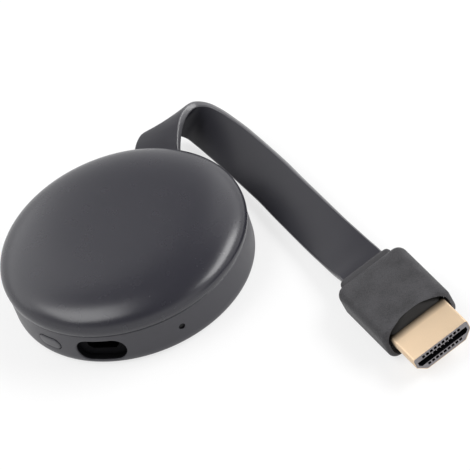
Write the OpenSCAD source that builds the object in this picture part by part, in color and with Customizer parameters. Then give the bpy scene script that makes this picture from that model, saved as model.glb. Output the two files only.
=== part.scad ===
// Wireless HDMI adapter: a round puck with a flat cable to an HDMI type A plug.
// Millimetres, +Z up. The origin is the middle of the puck's underside. The power port faces -Y
// and the cable leaves towards +Y.

/* [Puck] */
// Diameter of the puck at its widest
puck_d = 54; // [53:0.5:55]
// Height of the puck
puck_h = 14.2; // [14:0.1:16]
// Height of the parting line between the two housings
seam_z = 8.4; // [8.2:0.1:8.8]
// Height at which the puck is widest
rim_z = 9.7; // [9.4:0.1:10]
// How far the rim stands out past the parting line
rim_out = 0.3; // [0.1:0.05:0.5]
// Draft of the lower wall from the parting line down to the heel
wall_draft = 0.15; // [0:0.05:0.3]
// Height of the rounded heel
heel_h = 2.3; // [1.6:0.1:3]
// How far the heel draws in at the underside
heel_w = 1.1; // [0.6:0.1:1.6]
// Wall thickness of the lower housing
wall = 1.6; // [1.4:0.1:1.8]
// Floor thickness of the lower housing
floor_t = 1.4; // [1:0.1:1.6]
// Thickness of the cover
cover_t = 1.5; // [1.2:0.1:1.7]

/* [Port, key and light] */
// Width of the power port's pill-shaped opening
port_w = 11; // [10:0.5:12]
// Height of the power port's opening
port_h = 5.6; // [5:0.1:5.8]
// Height of the port's middle above the underside
port_z = 4.05; // [3.9:0.05:4.2]
// Length of the reset key
key_w = 5.8; // [5:0.1:6.4]
// Height of the reset key
key_h = 2.9; // [2.6:0.1:3.2]
// Height of the key's middle
key_z = 4.4; // [4.2:0.1:4.6]
// Direction of the key round the puck, in degrees from +X
key_angle = 243; // [238:1:246]
// Travel of the key
key_travel = 0.3; // [0.2:0.05:0.4]
// Diameter of the light's hole
light_d = 1.4; // [1.2:0.1:2]
// Height of the light's hole
light_z = 4.7; // [4.5:0.1:4.8]
// Direction of the light's hole, in degrees from +X
light_angle = 309; // [304:1:314]

/* [Cable and plug] */
// Width of the flat cable
cable_w = 10.4; // [9.6:0.1:11]
// Thickness of the flat cable
cable_t = 1.8; // [1.6:0.1:2]
// Width of the plug's grip
grip_w = 17.2; // [16.8:0.1:18]
// Thickness of the plug's grip
grip_h = 7.8; // [7.6:0.1:8.4]
// Length of the plug's grip
grip_len = 20.2; // [18:0.1:22]
// Rounding of the grip's edges
grip_r = 2.2; // [1.5:0.1:2.6]
// Width of the HDMI plug's shell
shell_w = 13.9; // [13.7:0.05:14]
// Height of the HDMI plug's shell
shell_h = 4.45; // [4.4:0.05:4.55]
// Length of the shell that stands out of the grip
shell_len = 8.8; // [8:0.1:11]

/* [Hidden] */

$fn = 96;
// Overrun of every cut
cut = 0.5;
// Gap between pieces of one body that sit in each other
fit_gap = 0.1;
// Running gap of a piece that moves
run_gap = 0.12;

// Puck outline
puck_r = puck_d / 2;
seam_r = puck_r - rim_out;
wall_r = seam_r - wall_draft;
base_r = wall_r - heel_w;
room_r = seam_r - wall;
// Small bevel on both sides of the parting line
seam_bevel = 0.15;
// Roundness of the cover's shoulder: the power of the cosine in its profile
shoulder_power = 0.4;
// Steps of the curves in the outline, in degrees
arc_step = 7.5;
rim_step = 30;
heel_step = 11.25;

// Cover's lip inside the lower wall
lip_t = 0.8;
lip_h = 0.9;
lip_out_r = room_r - fit_gap;
lip_in_r = lip_out_r - lip_t;
ceiling_z = puck_h - cover_t;

// Main board and what carries it; the power socket hangs under it
socket_h = 2.9;
board_z = port_z + socket_h / 2;
board_t = 1;
board_top = board_z + board_t;
board_gap = 1.9;
board_r = room_r - board_gap;
boss_d = 4.4;
boss_in = 3;
boss_at = board_r - boss_in;
boss_angles = [35, 145, 202, 338];
pilot_d = 1.2;
screw_hole_d = 1.8;
screw_head_d = 2.8;
screw_head_h = 0.8;
screw_len = 4.4;
drive_w = 0.4;
drive_depth = 0.35;
drive_len_share = 0.7;

// Power socket
port_angle = 270;
socket_w = 7.6;
socket_len = 5.2;
socket_sheet = 0.3;
socket_back = 0.7;
socket_chamfer = 0.9;
socket_face_y = -(room_r - socket_back);
tunnel_t = 0.8;
tunnel_in = 1.5;
board_front_y = socket_face_y + tunnel_in + fit_gap * 2;
tongue_w = 4.6;
tongue_t = 0.7;
tongue_back_t = 1;
tongue_set = 0.9;
blade_count = 5;
blade_pitch = 0.65;
blade_w = 0.3;
blade_t = 0.12;

// Reset key and its switch, measured along the radius
key_proud = 0.1;
key_flange_t = 0.6;
key_flange_out = 0.6;
key_flange_gap = 0.12;
stem_w = 1.6;
stem_h = 1.2;
switch_w = 4.2;
switch_depth = 3;
switch_h = 2.4;
switch_back = 4.7;
switch_at = room_r - switch_back;
plunger_w = 1.3;
plunger_h = 0.9;
plunger_out = 1.1;
plunger_in = 0.8;
plunger_gap = 0.06;

// Light
pipe_gap = 0.05;
pipe_set = 0.35;
led_at = 21;
led_len = 0.9;
led_w = 1.8;
led_h = 1.3;

// Chips and cans on the board
chip_round = 0.15;
can_w = 21;
can_d = 13.6;
can_h = 1.6;
can_sheet = 0.25;
can_y = 2;
proc_w = 9;
proc_h = 1;
proc_x = -4.8;
ram_w = 7.6;
ram_d = 11;
ram_h = 0.9;
ram_x = 5;
flash_w = 11.5;
flash_d = 9;
flash_h = 1;
flash_y = 6;
radio_w = 7.6;
radio_d = 11.6;
radio_h = 1.7;
radio_x = 15.8;
radio_y = 1;
radio_base_t = 0.5;
antenna_r = 22.6;
antenna_t = 0.3;
antenna_h = 2;
antenna_span = 44;
antenna_mid_angles = [3, 177];
crystal_w = 3.2;
crystal_d = 2.5;
crystal_h = 0.8;
crystal_x = -14.6;
crystal_y = 2;
coil_w = 3.6;
coil_h = 1.5;
coil_x = 4.2;
coil_y = -11;
coil_round = 0.6;
cap_w = 1;
cap_d = 0.6;
cap_h = 0.5;
cap_rows = 2;
cap_cols = 6;
cap_pitch_x = 2;
cap_pitch_y = 1.6;
cap_y = -7.2;
cap_round = 0.08;
pad_w = 15;
pad_d = 10;
pad_t = 0.8;
plate_r = 17.5;
plate_t = 0.8;
post_at = 15;
post_d = 3;
post_pin_d = 1.4;
post_pin_out = 0.5;
post_angles = [45, 135, 225, 315];

// Cable inside the puck
exit_rise = 0.35;
exit_z = board_top + exit_rise;
exit_back = 1;
exit_y = puck_r - exit_back;
notch_w = 12.6;
notch_low = 1.5;
clamp_flange_w = 14.2;
clamp_flange_t = 1.1;
clamp_len = 3.1;
clamp_in_y = exit_y - clamp_len;
tail_len = 3.8;
tail_in_y = exit_y - tail_len;
core_w = 9;
core_t = 0.6;
connector_w = 11.6;
connector_d = 4.6;
connector_h = 2;
connector_back = 7.6;
connector_y = exit_y - connector_back;
board_cut_back = 7;
board_cut_y = exit_y - board_cut_back;

// Plug: the turn of its axis from -Y and its lean about that axis
plug_yaw = 43.5;
plug_lean = -7.2;
shell_t = 0.35;
shell_tail = 6;
shell_low_w = 9.9;
shell_side_h = 2.45;
shell_round = 0.6;
recess_gap = 0.5;
recess_depth = 0.9;
insulator_set = 0.35;
insulator_len = 13;
slot_w = 11;
slot_h = 1.3;
slot_z = 0.15;
slot_depth = 6;
well_pitch = 1;
well_w = 0.6;
well_h = 0.75;
upper_count = 10;
lower_count = 9;
contact_w = 0.36;
contact_t = 0.2;
contact_set = 0.7;
inner_can_w = 14.7;
inner_can_h = 5.3;
inner_can_len = 14;
inner_can_sheet = 0.3;
inner_can_set = 2;
plug_board_w = 12;
plug_board_t = 0.8;
plug_board_len = 6;
collar_w = 13.2;
collar_h = 5;
collar_len = 1.5;
collar_step = 0.7;
collar_neck_len = 1.5;
collar_round = 0.9;

// Route of the free cable: points on its middle line as [x, y past the cable's exit, z]. It leaves
// the puck flat, folds over clockwise with one edge down on the table, and comes back to the plug
// leaning on that edge and upside down.
route_points = [[-0.4, 4.2, 7.3], [-0.5, 6.4, 7.8], [-0.3, 8.7, 8.2], [0.4, 11, 8], [1.5, 13.1, 7.3],
    [3.2, 14.5, 6.2], [5.8, 14.5, 5.2], [8.7, 12.7, 4.7], [11.9, 10.1, 4.4], [15.4, 7, 4.3],
    [19.2, 3.4, 4.2], [23.2, -0.5, 4.2], [27.2, -4.5, 4.2], [31.2, -8.8, 4.2], [35.2, -13, 4.2],
    [39.2, -17.2, 4.2], [43.2, -21.4, 4.3], [46.8, -25.1, 4.5], [49.8, -28.1, 4.6]];
// The way the cable's width points there, from its low edge to its high one. It slants in the fold.
route_width_dirs = [[1, -0.02, 0.09], [0.98, 0, 0.19], [0.95, 0.05, 0.31], [0.89, 0.09, 0.45],
    [0.81, 0.09, 0.58], [0.71, 0.12, 0.69], [0.66, 0.19, 0.72], [0.64, 0.31, 0.7], [0.62, 0.4, 0.67],
    [0.59, 0.49, 0.64], [0.56, 0.56, 0.61], [0.56, 0.59, 0.59], [0.56, 0.6, 0.57], [0.58, 0.61, 0.54],
    [0.6, 0.62, 0.5], [0.6, 0.66, 0.45], [0.6, 0.71, 0.37], [0.62, 0.73, 0.28], [0.66, 0.72, 0.2]];
// Where the route ends at the plug, measured the same way
route_end = [53.5, -31.8, 4.8];
// Straight pieces of the route at both ends
cord_lead = 2;
cord_start = [0, exit_y, exit_z];
cord_end = [route_end[0], exit_y + route_end[1], route_end[2]];
plug_dir = [sin(plug_yaw), -cos(plug_yaw), 0];
plug_across = [cos(plug_lean) * cos(plug_yaw), cos(plug_lean) * sin(plug_yaw), -sin(plug_lean)];
cord_route = concat([cord_start, cord_start + [0, cord_lead, 0]],
    [for (p = route_points) [p[0], exit_y + p[1], p[2]]], [cord_end - plug_dir * cord_lead, cord_end]);
cord_width_dir = concat([[1, 0, 0], [1, 0, 0]], route_width_dirs, [plug_across, plug_across]);
cord_rings = 60;
// Half the stretch over which a ring's direction is measured, as a share of the route
ring_span = 0.001;
route_stop = 0.000001;

// Points of a convex outline with its corners rounded, each with its own radius
function corner_arc(p, q, n, r, steps = 5) =
    let (u = (p - q) / norm(p - q), v = (n - q) / norm(n - q),
        half = acos(min(1, max(-1, u * v))) / 2,
        back = r / tan(half),
        mid = (u + v) / norm(u + v),
        c = q + mid * (r / sin(half)),
        a0 = atan2((q + u * back - c)[1], (q + u * back - c)[0]),
        a1 = atan2((q + v * back - c)[1], (q + v * back - c)[0]),
        turn = (a1 - a0 > 180) ? a1 - a0 - 360 : (a1 - a0 < -180) ? a1 - a0 + 360 : a1 - a0)
    [for (i = [0:steps]) c + r * [cos(a0 + turn * i / steps), sin(a0 + turn * i / steps)]];
function rounded(pts, radii) =
    [for (i = [0:len(pts) - 1])
        each (radii[i] <= 0 ? [pts[i]]
            : corner_arc(pts[(i + len(pts) - 1) % len(pts)], pts[i], pts[(i + 1) % len(pts)], radii[i]))];
function rect_pts(w, h) = [[-w / 2, -h / 2], [w / 2, -h / 2], [w / 2, h / 2], [-w / 2, h / 2]];

module rounded_rect(w, h, r) {
    polygon(rounded(rect_pts(w, h), [r, r, r, r]));
}

// A block with rounded upright edges, centred in X and Y, standing on z
module chip(w, d, h, r = chip_round) {
    linear_extrude(h) rounded_rect(w, d, r);
}

// A pill outline centred on the origin
module pill(w, h) {
    square([w - h, h], center = true);
    for (s = [-1, 1]) translate([s * (w - h) / 2, 0]) circle(d = h);
}

// Turns an upright outline (X across, Y up) so that it runs outwards along the radius at an angle
module along_radius(angle, z, from_r, to_r) {
    rotate([0, 0, angle]) translate([from_r, 0, z]) rotate([90, 0, 90])
        linear_extrude(to_r - from_r) children();
}

// Outer profile of the lower housing from the axis out, grown by g
function housing_outer(g = 0) = concat(
    [[0, -g], [base_r, -g]],
    [for (a = [heel_step:heel_step:90 - heel_step])
        [base_r + (heel_w + g) * sin(a), heel_h - (heel_h + g) * cos(a)]],
    [[wall_r + g, heel_h], [seam_r + g, seam_z - seam_bevel], [seam_r + g - seam_bevel, seam_z]]);

// The cover's domed profile from the rim in to the axis
function dome(r, low, high) =
    [for (a = [0:arc_step:90]) [r * pow(max(0, cos(a)), shoulder_power), low + (high - low) * sin(a)]];

module housing_solid(g = 0) {
    rotate_extrude() polygon(concat(housing_outer(g), [[0, seam_z]]));
}

module top_cover() {
    color("#4c4c52") difference() {
        union() {
            rotate_extrude() polygon(concat(
                [[lip_in_r, seam_z - lip_h], [lip_out_r, seam_z - lip_h], [lip_out_r, seam_z],
                    [seam_r - seam_bevel, seam_z], [seam_r, seam_z + seam_bevel]],
                [for (a = [rim_step:rim_step:90 - rim_step]) [seam_r + rim_out * sin(a),
                    seam_z + seam_bevel + (rim_z - seam_z - seam_bevel) * (1 - cos(a))]],
                dome(puck_r, rim_z, puck_h),
                [for (i = [0:90 / arc_step]) dome(lip_in_r, rim_z, ceiling_z)[90 / arc_step - i]]));
            for (a = post_angles) rotate([0, 0, a]) translate([post_at, 0, 0]) cover_post();
        }
        cable_notch(notch_w + fit_gap * 2, clamp_in_y - fit_gap);
    }
}

// A post under the cover with a pin that holds the heat plate
module cover_post() {
    plate_top = board_top + can_h + can_sheet + pad_t + plate_t;
    translate([0, 0, plate_top]) cylinder(d = post_d, h = ceiling_z + cover_t / 2 - plate_top);
    translate([0, 0, plate_top - plate_t - post_pin_out])
        cylinder(d = post_pin_d, h = plate_t + post_pin_out + cut);
}

module cable_notch(w, from_y) {
    translate([-w / 2, from_y, exit_z - notch_low])
        cube([w, puck_r - from_y + cut, seam_z - exit_z + notch_low]);
}

module lower_housing() {
    color("#47474c") difference() {
        union() {
            difference() {
                rotate_extrude() polygon(concat(housing_outer(),
                    [[room_r, seam_z], [room_r, floor_t], [0, floor_t]]));
                cable_notch(notch_w, 0);
            }
            for (a = boss_angles) rotate([0, 0, a]) translate([boss_at, 0, floor_t])
                cylinder(d = boss_d, h = board_z - floor_t);
            intersection() {
                along_radius(port_angle, port_z, -socket_face_y - tunnel_in, room_r + wall / 2)
                    pill(port_w + tunnel_t * 2, port_h + tunnel_t * 2);
                translate([0, 0, floor_t / 2])
                    cylinder(r = room_r + wall / 2, h = seam_z - lip_h - fit_gap - floor_t / 2);
            }
        }
        for (a = boss_angles) rotate([0, 0, a]) translate([boss_at, 0, floor_t])
            cylinder(d = pilot_d, h = board_z - floor_t + cut);
        along_radius(port_angle, port_z, -socket_face_y, puck_r + cut) pill(port_w, port_h);
        along_radius(port_angle, port_z, -socket_face_y - tunnel_in - cut, puck_r)
            socket_outline(socket_w + fit_gap * 2, socket_h + fit_gap * 2);
        along_radius(key_angle, key_z, room_r - cut, puck_r + cut)
            pill(key_w + run_gap * 2, key_h + run_gap * 2);
        along_radius(light_angle, light_z, room_r - cut, puck_r + cut) circle(d = light_d);
    }
}

module reset_button() {
    color("#505056") {
        intersection() {
            along_radius(key_angle, key_z, key_flange_r(), puck_r + cut) pill(key_w, key_h);
            rotate_extrude() polygon(concat(housing_outer(key_proud), [[0, seam_z]]));
        }
        intersection() {
            along_radius(key_angle, key_z, key_flange_r() - cut, puck_r)
                pill(key_w + key_flange_out * 2, key_h + key_flange_out * 2);
            difference() {
                cylinder(r = room_r - key_flange_gap, h = seam_z);
                translate([0, 0, -cut]) cylinder(r = key_flange_r(), h = seam_z + cut * 2);
            }
        }
        along_radius(key_angle, key_z, switch_at + plunger_out + plunger_gap, key_flange_r() + key_flange_t / 2)
            square([stem_w, stem_h], center = true);
    }
}
function key_flange_r() = room_r - key_flange_gap - key_flange_t;

module switch_body() {
    color("#2b2b2e") difference() {
        rotate([0, 0, key_angle])
            translate([switch_at - switch_depth, -switch_w / 2, board_z - switch_h])
                cube([switch_depth, switch_w, switch_h]);
        along_radius(key_angle, key_z, switch_at - plunger_in - key_travel - run_gap, switch_at + cut)
            square([plunger_w + run_gap, plunger_h + run_gap], center = true);
    }
}

module switch_plunger() {
    color("#c8c4ba")
        along_radius(key_angle, key_z, switch_at - plunger_in, switch_at + plunger_out)
            square([plunger_w, plunger_h], center = true);
}

module socket_outline(w, h) {
    polygon([[-w / 2, h / 2], [-w / 2, -h / 2 + socket_chamfer], [-w / 2 + socket_chamfer, -h / 2],
        [w / 2 - socket_chamfer, -h / 2], [w / 2, -h / 2 + socket_chamfer], [w / 2, h / 2]]);
}

module usb_socket_shell() {
    color("#b9bbbf") difference() {
        along_radius(port_angle, port_z, -socket_face_y - socket_len, -socket_face_y)
            socket_outline(socket_w, socket_h);
        along_radius(port_angle, port_z, -socket_face_y - socket_len + socket_sheet, -socket_face_y + cut)
            socket_outline(socket_w - socket_sheet * 2, socket_h - socket_sheet * 2);
    }
}

module usb_tongue() {
    color("#1b1b1d") {
        along_radius(port_angle, port_z, -socket_face_y - socket_len + socket_sheet,
            -socket_face_y - socket_len + socket_sheet + tongue_back_t)
            socket_outline(socket_w - socket_sheet * 2, socket_h - socket_sheet * 2);
        along_radius(port_angle, tongue_z(), -socket_face_y - socket_len + socket_sheet, -socket_face_y - tongue_set)
            square([tongue_w, tongue_t], center = true);
    }
}
// The tongue lies above the socket's middle
function tongue_z() = port_z + tongue_t / 2;

module usb_contacts() {
    color("#d8b46a") for (i = [0:blade_count - 1])
        translate([(i - (blade_count - 1) / 2) * blade_pitch, 0, 0])
            along_radius(port_angle, tongue_z() - tongue_t / 2 - blade_t / 2,
                -socket_face_y - socket_len + socket_sheet + tongue_back_t, -socket_face_y - tongue_set)
                square([blade_w, blade_t], center = true);
}

module light_pipe() {
    color("#8d8f94") along_radius(light_angle, light_z, led_at + led_len, wall_r - pipe_set)
        circle(d = light_d - pipe_gap * 2);
}

module led_chip() {
    color("#e8e6d8") rotate([0, 0, light_angle])
        translate([led_at, -led_w / 2, board_z - led_h]) cube([led_len, led_w, led_h]);
}

module main_board() {
    color("#1f5a3a") difference() {
        translate([0, 0, board_z]) cylinder(r = board_r, h = board_t);
        for (y = [board_cut_y, board_front_y - board_r])
            translate([-board_r, y, board_z - cut]) cube([board_r * 2, board_r, board_t + cut * 2]);
        for (a = boss_angles) rotate([0, 0, a]) translate([boss_at, 0, board_z - cut])
            cylinder(d = screw_hole_d, h = board_t + cut * 2);
    }
}

module board_screws() {
    color("#8e8f93") for (a = boss_angles) rotate([0, 0, a]) translate([boss_at, 0, board_top]) {
        difference() {
            cylinder(d = screw_head_d, h = screw_head_h);
            for (r = [0, 90]) rotate([0, 0, r])
                translate([-screw_head_d * drive_len_share / 2, -drive_w / 2, screw_head_h - drive_depth])
                    cube([screw_head_d * drive_len_share, drive_w, drive_depth + cut]);
        }
        translate([0, 0, -screw_len]) cylinder(d = pilot_d, h = screw_len);
    }
}

module processor() {
    color("#202124") translate([proc_x, can_y, board_top]) chip(proc_w, proc_w, proc_h);
}

module memory_chip() {
    color("#26272b") translate([ram_x, can_y, board_top]) chip(ram_w, ram_d, ram_h);
}

module flash_chip() {
    color("#26272b") translate([0, flash_y, board_z - flash_h]) chip(flash_w, flash_d, flash_h);
}

module radio_module() {
    color("#c2c4c8") translate([radio_x, radio_y, board_top]) {
        chip(radio_w, radio_d, radio_base_t);
        translate([0, 0, radio_base_t])
            chip(radio_w - radio_base_t * 2, radio_d - radio_base_t * 2, radio_h - radio_base_t);
    }
}

module antennas() {
    color("#c9a24c") for (m = antenna_mid_angles)
        translate([0, 0, board_top]) rotate([0, 0, m - antenna_span / 2])
            rotate_extrude(angle = antenna_span)
                translate([antenna_r - antenna_t, 0]) square([antenna_t, antenna_h]);
}

module crystal() {
    color("#d0d2d5") translate([crystal_x, crystal_y, board_top]) chip(crystal_w, crystal_d, crystal_h);
}

module power_coils() {
    color("#55565a") for (s = [-1, 1]) translate([s * coil_x, coil_y, board_top])
        chip(coil_w, coil_w, coil_h, coil_round);
}

module chip_capacitors() {
    color("#b99a6c") for (i = [0:cap_cols - 1], j = [0:cap_rows - 1])
        translate([(i - (cap_cols - 1) / 2) * cap_pitch_x, cap_y - j * cap_pitch_y, board_top])
            chip(cap_w, cap_d, cap_h, cap_round);
}

module shield_frame() {
    color("#c6c8cc") translate([0, can_y, board_top]) linear_extrude(can_h) difference() {
        square([can_w, can_d], center = true);
        square([can_w - can_sheet * 2, can_d - can_sheet * 2], center = true);
    }
}

module shield_lid() {
    color("#ccced2") translate([0, can_y, board_top + can_h])
        chip(can_w, can_d, can_sheet, can_sheet);
}

module thermal_pad() {
    color("#9aa7b8") translate([0, can_y, board_top + can_h + can_sheet]) chip(pad_w, pad_d, pad_t);
}

module heat_plate() {
    color("#b8babd") translate([0, 0, board_top + can_h + can_sheet + pad_t]) difference() {
        cylinder(r = plate_r, h = plate_t);
        for (a = post_angles) rotate([0, 0, a]) translate([post_at, 0, -cut])
            cylinder(d = post_pin_d + fit_gap, h = plate_t + cut * 2);
    }
}

module cable_clamp() {
    color("#2d2d30") difference() {
        union() {
            translate([-notch_w / 2, clamp_in_y, exit_z - notch_low])
                cube([notch_w, exit_y - clamp_in_y, seam_z - exit_z + notch_low]);
            translate([-clamp_flange_w / 2, clamp_in_y, exit_z - notch_low])
                cube([clamp_flange_w, clamp_flange_t, seam_z - exit_z + notch_low - lip_h - fit_gap]);
        }
        translate([0, exit_y + cut, exit_z]) rotate([90, 0, 0])
            linear_extrude(exit_y - clamp_in_y + cut * 2) cable_section();
    }
}

module cable_connector() {
    color("#e4e0d4") difference() {
        translate([-connector_w / 2, connector_y - connector_d, board_top])
            cube([connector_w, connector_d, connector_h]);
        translate([-core_w / 2, connector_y - connector_d / 2, exit_z - core_t / 2])
            cube([core_w, connector_d, core_t]);
    }
}

module cable_tail() {
    color("#303034") {
        translate([0, exit_y, exit_z]) rotate([90, 0, 0])
            linear_extrude(exit_y - tail_in_y) cable_section();
        translate([-core_w / 2, connector_y - connector_d / 2, exit_z - core_t / 2])
            cube([core_w, tail_in_y - connector_y + connector_d / 2, core_t]);
    }
}

// The flat cable's section, X across and Y through its thickness
module cable_section() {
    polygon(section_pts());
}
section_corner_shares = [0.28, 0.3];
function section_pts() =
    let (x = cable_w / 2, y = cable_t / 2, cx = cable_t * section_corner_shares[0],
        cy = cable_t * section_corner_shares[1])
    [[x, -y + cy], [x, y - cy], [x - cx, y], [0, y], [-x + cx, y], [-x, y - cy],
        [-x, -y + cy], [-x + cx, -y], [0, -y], [x - cx, -y]];

// Smooth curve through the route's points and through the directions of its width
function spline(p, i, t) =
    let (n = len(p) - 1, p1 = p[i], p2 = p[i + 1],
        m1 = (i == 0) ? p[1] - p[0] : (p[i + 1] - p[i - 1]) / 2,
        m2 = (i + 1 == n) ? p[n] - p[n - 1] : (p[i + 2] - p[i]) / 2)
    (2 * t * t * t - 3 * t * t + 1) * p1 + (t * t * t - 2 * t * t + t) * m1
        + (3 * t * t - 2 * t * t * t) * p2 + (t * t * t - t * t) * m2;
function along(p, s) = let (n = len(p) - 1, u = min(s * n, n - route_stop)) spline(p, floor(u), u - floor(u));
function unit(v) = v / norm(v);
function cord_ring(s) =
    let (c = along(cord_route, s),
        t = (s <= 0) ? [0, 1, 0] : (s >= 1) ? plug_dir
            : unit(along(cord_route, s + ring_span) - along(cord_route, s - ring_span)),
        w = unit(along(cord_width_dir, s)),
        n = unit(cross(w, t)))
    [for (q = section_pts()) c + w * q[0] + n * q[1]];

module ribbon_cable() {
    k = len(section_pts());
    rings = [for (i = [0:cord_rings]) cord_ring(i / cord_rings)];
    pts = [for (r = rings) each r];
    color("#303034") polyhedron(points = pts, faces = concat(
        [[for (j = [k - 1:-1:0]) j]],
        [for (i = [0:cord_rings - 1], j = [0:k - 1])
            [i * k + j, i * k + (j + 1) % k, (i + 1) * k + (j + 1) % k, (i + 1) * k + j]],
        [[for (j = [0:k - 1]) cord_rings * k + j]]));
}

// Places the plug at the cable's end: its pieces are made with the shell's front at the origin and
// the grip towards +Y
module at_plug() {
    translate(cord_end) rotate([0, plug_lean, plug_yaw])
        translate([0, -shell_len - grip_len - collar_len - collar_neck_len, 0]) children();
}

// Turns an outline (X across, Y up) into a prism from y0 to y1
module back_along(y0, y1) {
    translate([0, y1, 0]) rotate([90, 0, 0]) linear_extrude(y1 - y0) children();
}

// The plug shell's outline, drawn in by g on every side
module shell_outline(g) {
    w = shell_w / 2 - g;
    h = shell_h / 2 - g;
    low = shell_low_w / 2 - g / 2;
    side = shell_h / 2 - shell_side_h;
    r = shell_round - g;
    polygon(rounded([[-low, -h], [low, -h], [w, side], [w, h], [-w, h], [-w, side]],
        [r, r, r, r, r, r]));
}

module hdmi_shell() {
    color("#e2c8a4") at_plug() difference() {
        back_along(0, shell_len + shell_tail) shell_outline(0);
        back_along(-cut, shell_len + shell_tail + cut) shell_outline(shell_t);
    }
}

module hdmi_insulator() {
    color("#8a868c") at_plug() difference() {
        back_along(insulator_set, insulator_set + insulator_len) shell_outline(shell_t);
        back_along(0, insulator_set + slot_depth)
            translate([0, slot_z]) square([slot_w, slot_h], center = true);
        wells(upper_count, 1, well_w, well_h, 0, insulator_set + slot_depth);
        wells(lower_count, -1, well_w, well_h, 0, insulator_set + slot_depth);
    }
}

// A row of small prisms above (side = 1) or below (side = -1) the slot
module wells(count, side, w, h, y0, y1) {
    for (i = [0:count - 1]) back_along(y0, y1)
        translate([(i - (count - 1) / 2) * well_pitch, slot_z + side * (slot_h / 2 + h / 2 - fit_gap / 2)])
            square([w, h + fit_gap], center = true);
}

module contact_row(count, side) {
    for (i = [0:count - 1]) back_along(insulator_set + contact_set, insulator_set + slot_depth)
        translate([(i - (count - 1) / 2) * well_pitch, slot_z + side * (slot_h / 2 + well_h - contact_t / 2)])
            square([contact_w, contact_t], center = true);
}

module hdmi_upper_contacts() {
    color("#d9b25c") at_plug() contact_row(upper_count, 1);
}

module hdmi_lower_contacts() {
    color("#d9b25c") at_plug() contact_row(lower_count, -1);
}

// The grip: a block with all its edges rounded
module plug_overmould() {
    back = shell_len + grip_len;
    color("#545457") at_plug() difference() {
        hull() for (x = [-1, 1], z = [-1, 1], y = [shell_len + grip_r, back - grip_r])
            translate([x * (grip_w / 2 - grip_r), y, z * (grip_h / 2 - grip_r)]) sphere(r = grip_r, $fn = 32);
        back_along(shell_len - cut, shell_len + shell_tail) shell_outline(0);
        back_along(shell_len - cut, shell_len + recess_depth) shell_outline(-recess_gap);
        back_along(shell_len + inner_can_set, shell_len + inner_can_set + inner_can_len)
            rounded_rect(inner_can_w, inner_can_h, inner_can_sheet);
    }
}

module plug_inner_can() {
    y0 = shell_len + inner_can_set;
    color("#c4c6ca") at_plug() difference() {
        back_along(y0, y0 + inner_can_len) rounded_rect(inner_can_w, inner_can_h, inner_can_sheet);
        back_along(y0 - cut, y0 + inner_can_len - inner_can_sheet)
            square([inner_can_w - inner_can_sheet * 2, inner_can_h - inner_can_sheet * 2], center = true);
    }
}

module plug_board() {
    y0 = insulator_set + insulator_len;
    color("#23603f") at_plug() back_along(y0, y0 + plug_board_len)
        square([plug_board_w, plug_board_t], center = true);
}

module cable_collar() {
    y0 = shell_len + grip_len;
    color("#4b4b4e") at_plug() {
        back_along(y0, y0 + collar_len) rounded_rect(collar_w, collar_h, collar_round);
        back_along(y0 + collar_len, y0 + collar_len + collar_neck_len)
            rounded_rect(collar_w - collar_step * 2, collar_h - collar_step * 2, collar_round - collar_step / 2);
    }
}

top_cover();
lower_housing();
reset_button();
switch_body();
switch_plunger();
usb_socket_shell();
usb_tongue();
usb_contacts();
light_pipe();
led_chip();
main_board();
board_screws();
processor();
memory_chip();
flash_chip();
radio_module();
antennas();
crystal();
power_coils();
chip_capacitors();
shield_frame();
shield_lid();
thermal_pad();
heat_plate();
cable_clamp();
cable_connector();
cable_tail();
ribbon_cable();
cable_collar();
plug_overmould();
plug_inner_can();
plug_board();
hdmi_shell();
hdmi_insulator();
hdmi_upper_contacts();
hdmi_lower_contacts();
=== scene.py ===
"""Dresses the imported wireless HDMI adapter: a satin grey puck, its flat cable and its gold plug."""
import math

import bmesh
import bpy
from mathutils import Matrix, Vector
from mathutils.geometry import delaunay_2d_cdt

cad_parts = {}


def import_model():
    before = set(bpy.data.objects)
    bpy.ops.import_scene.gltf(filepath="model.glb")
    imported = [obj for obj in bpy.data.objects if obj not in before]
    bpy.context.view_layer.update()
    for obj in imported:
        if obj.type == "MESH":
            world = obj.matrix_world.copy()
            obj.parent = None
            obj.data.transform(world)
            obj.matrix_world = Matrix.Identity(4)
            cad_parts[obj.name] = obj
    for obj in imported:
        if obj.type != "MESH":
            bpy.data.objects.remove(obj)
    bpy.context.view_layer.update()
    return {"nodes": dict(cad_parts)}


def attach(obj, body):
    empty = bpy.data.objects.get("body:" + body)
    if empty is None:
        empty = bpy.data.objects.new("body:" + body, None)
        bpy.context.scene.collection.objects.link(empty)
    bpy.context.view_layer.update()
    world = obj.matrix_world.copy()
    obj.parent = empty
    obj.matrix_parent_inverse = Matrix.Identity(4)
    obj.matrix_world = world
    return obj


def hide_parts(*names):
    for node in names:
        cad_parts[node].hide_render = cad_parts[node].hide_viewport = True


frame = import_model()

# Sizes are in millimetres, in the row frame, and MM turns them into metres
MM = 0.001
BODY = "puck"

# Camera at the photograph's angle

# The middle of the puck's underside appears ASIDE to the left of the picture's middle and BELOW
# it. The clip distances are in metres.
TURN, ELEVATION, ROLL = (math.radians(a) for a in (27.3, 41.24, -20.84))
ASIDE, BELOW, DISTANCE = 20.87, 8.12, 1246.2
SENSOR, LENS = 36.0, 451.85
CLIP_NEAR, CLIP_FAR = 0.05, 20


def turned(v):
    """A direction given from the camera's side, turned into the row frame."""
    return Matrix.Rotation(TURN, 3, "Z") @ Vector(v)


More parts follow.
